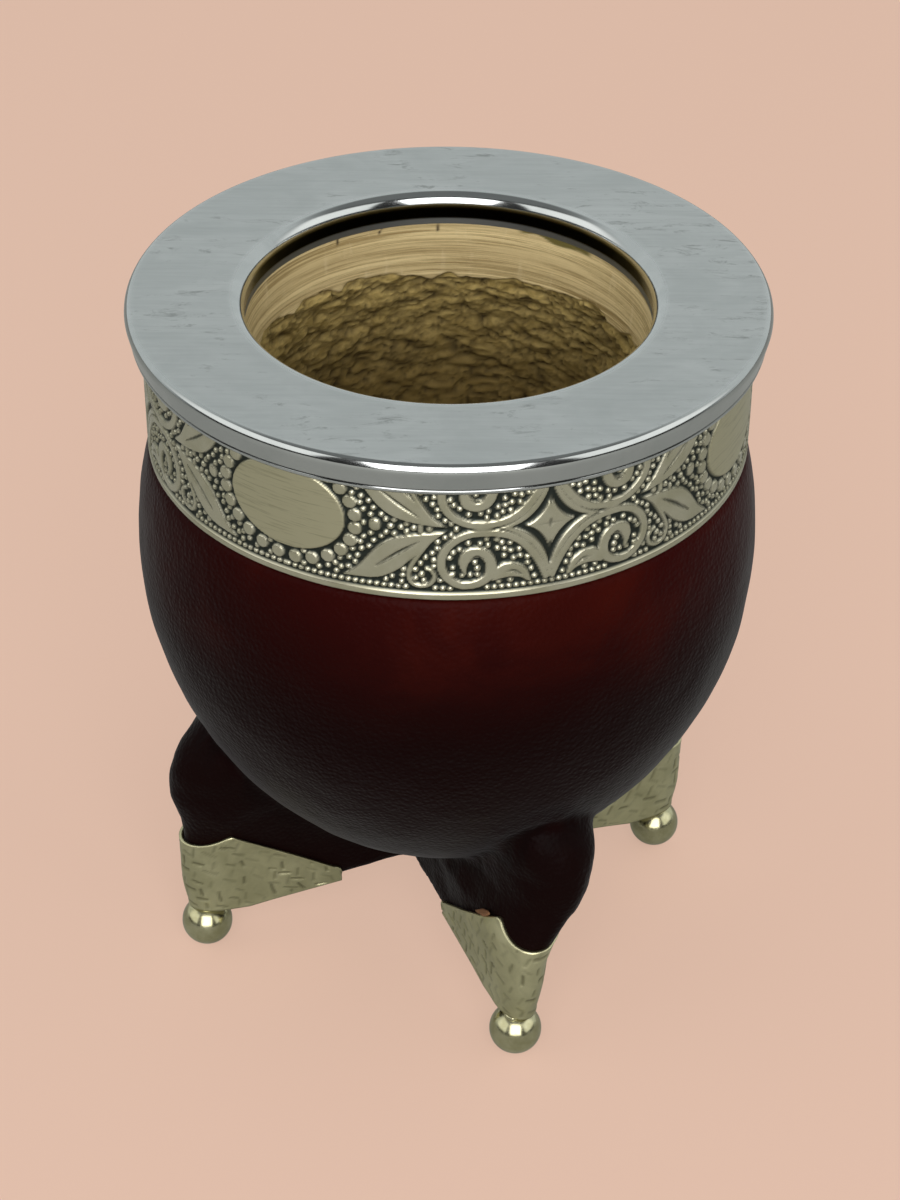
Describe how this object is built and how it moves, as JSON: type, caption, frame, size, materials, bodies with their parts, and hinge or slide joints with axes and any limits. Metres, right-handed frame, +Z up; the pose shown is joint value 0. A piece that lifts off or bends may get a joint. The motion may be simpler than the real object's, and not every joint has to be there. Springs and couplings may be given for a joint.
{
  "type": "mate gourd cup",
  "caption": "Empty mate cup: calabash bowl in dark red leather drawn into feet with metal caps and balls, chased nickel-silver collar and wide polished steel rim.",
  "frame": {"origin": "on the floor under the middle of the bowl, at the bottom centre of the bounding box", "axes": "+Z up along the bowl's axis; -Y is the side with the front foot"},
  "size_m": [0.0902, 0.0902, 0.1103],
  "materials": {
    "calabash": "turned bare wood at the mouth, rough dry pulp below",
    "leather": "satin oxblood leather with a fine pebble grain",
    "chased_nickel_silver": "chased and brushed, dark patina in the recesses",
    "polished_steel": "polished edges, lightly scratched satin face",
    "cap_nickel_silver": "embossed sheet, soft polish",
    "ball_nickel_silver": "polished"
  },
  "bodies": {
    "root": {"gourd_shell": "calabash", "leather_cover": "leather", "collar": "chased_nickel_silver", "rim": "polished_steel", "foot_cap_right": "cap_nickel_silver", "foot_cap_back": "cap_nickel_silver", "foot_cap_left": "cap_nickel_silver", "foot_cap_front": "cap_nickel_silver", "foot_ball_right": "ball_nickel_silver", "foot_ball_back": "ball_nickel_silver", "foot_ball_left": "ball_nickel_silver", "foot_ball_front": "ball_nickel_silver"}
  },
  "joints": []
}
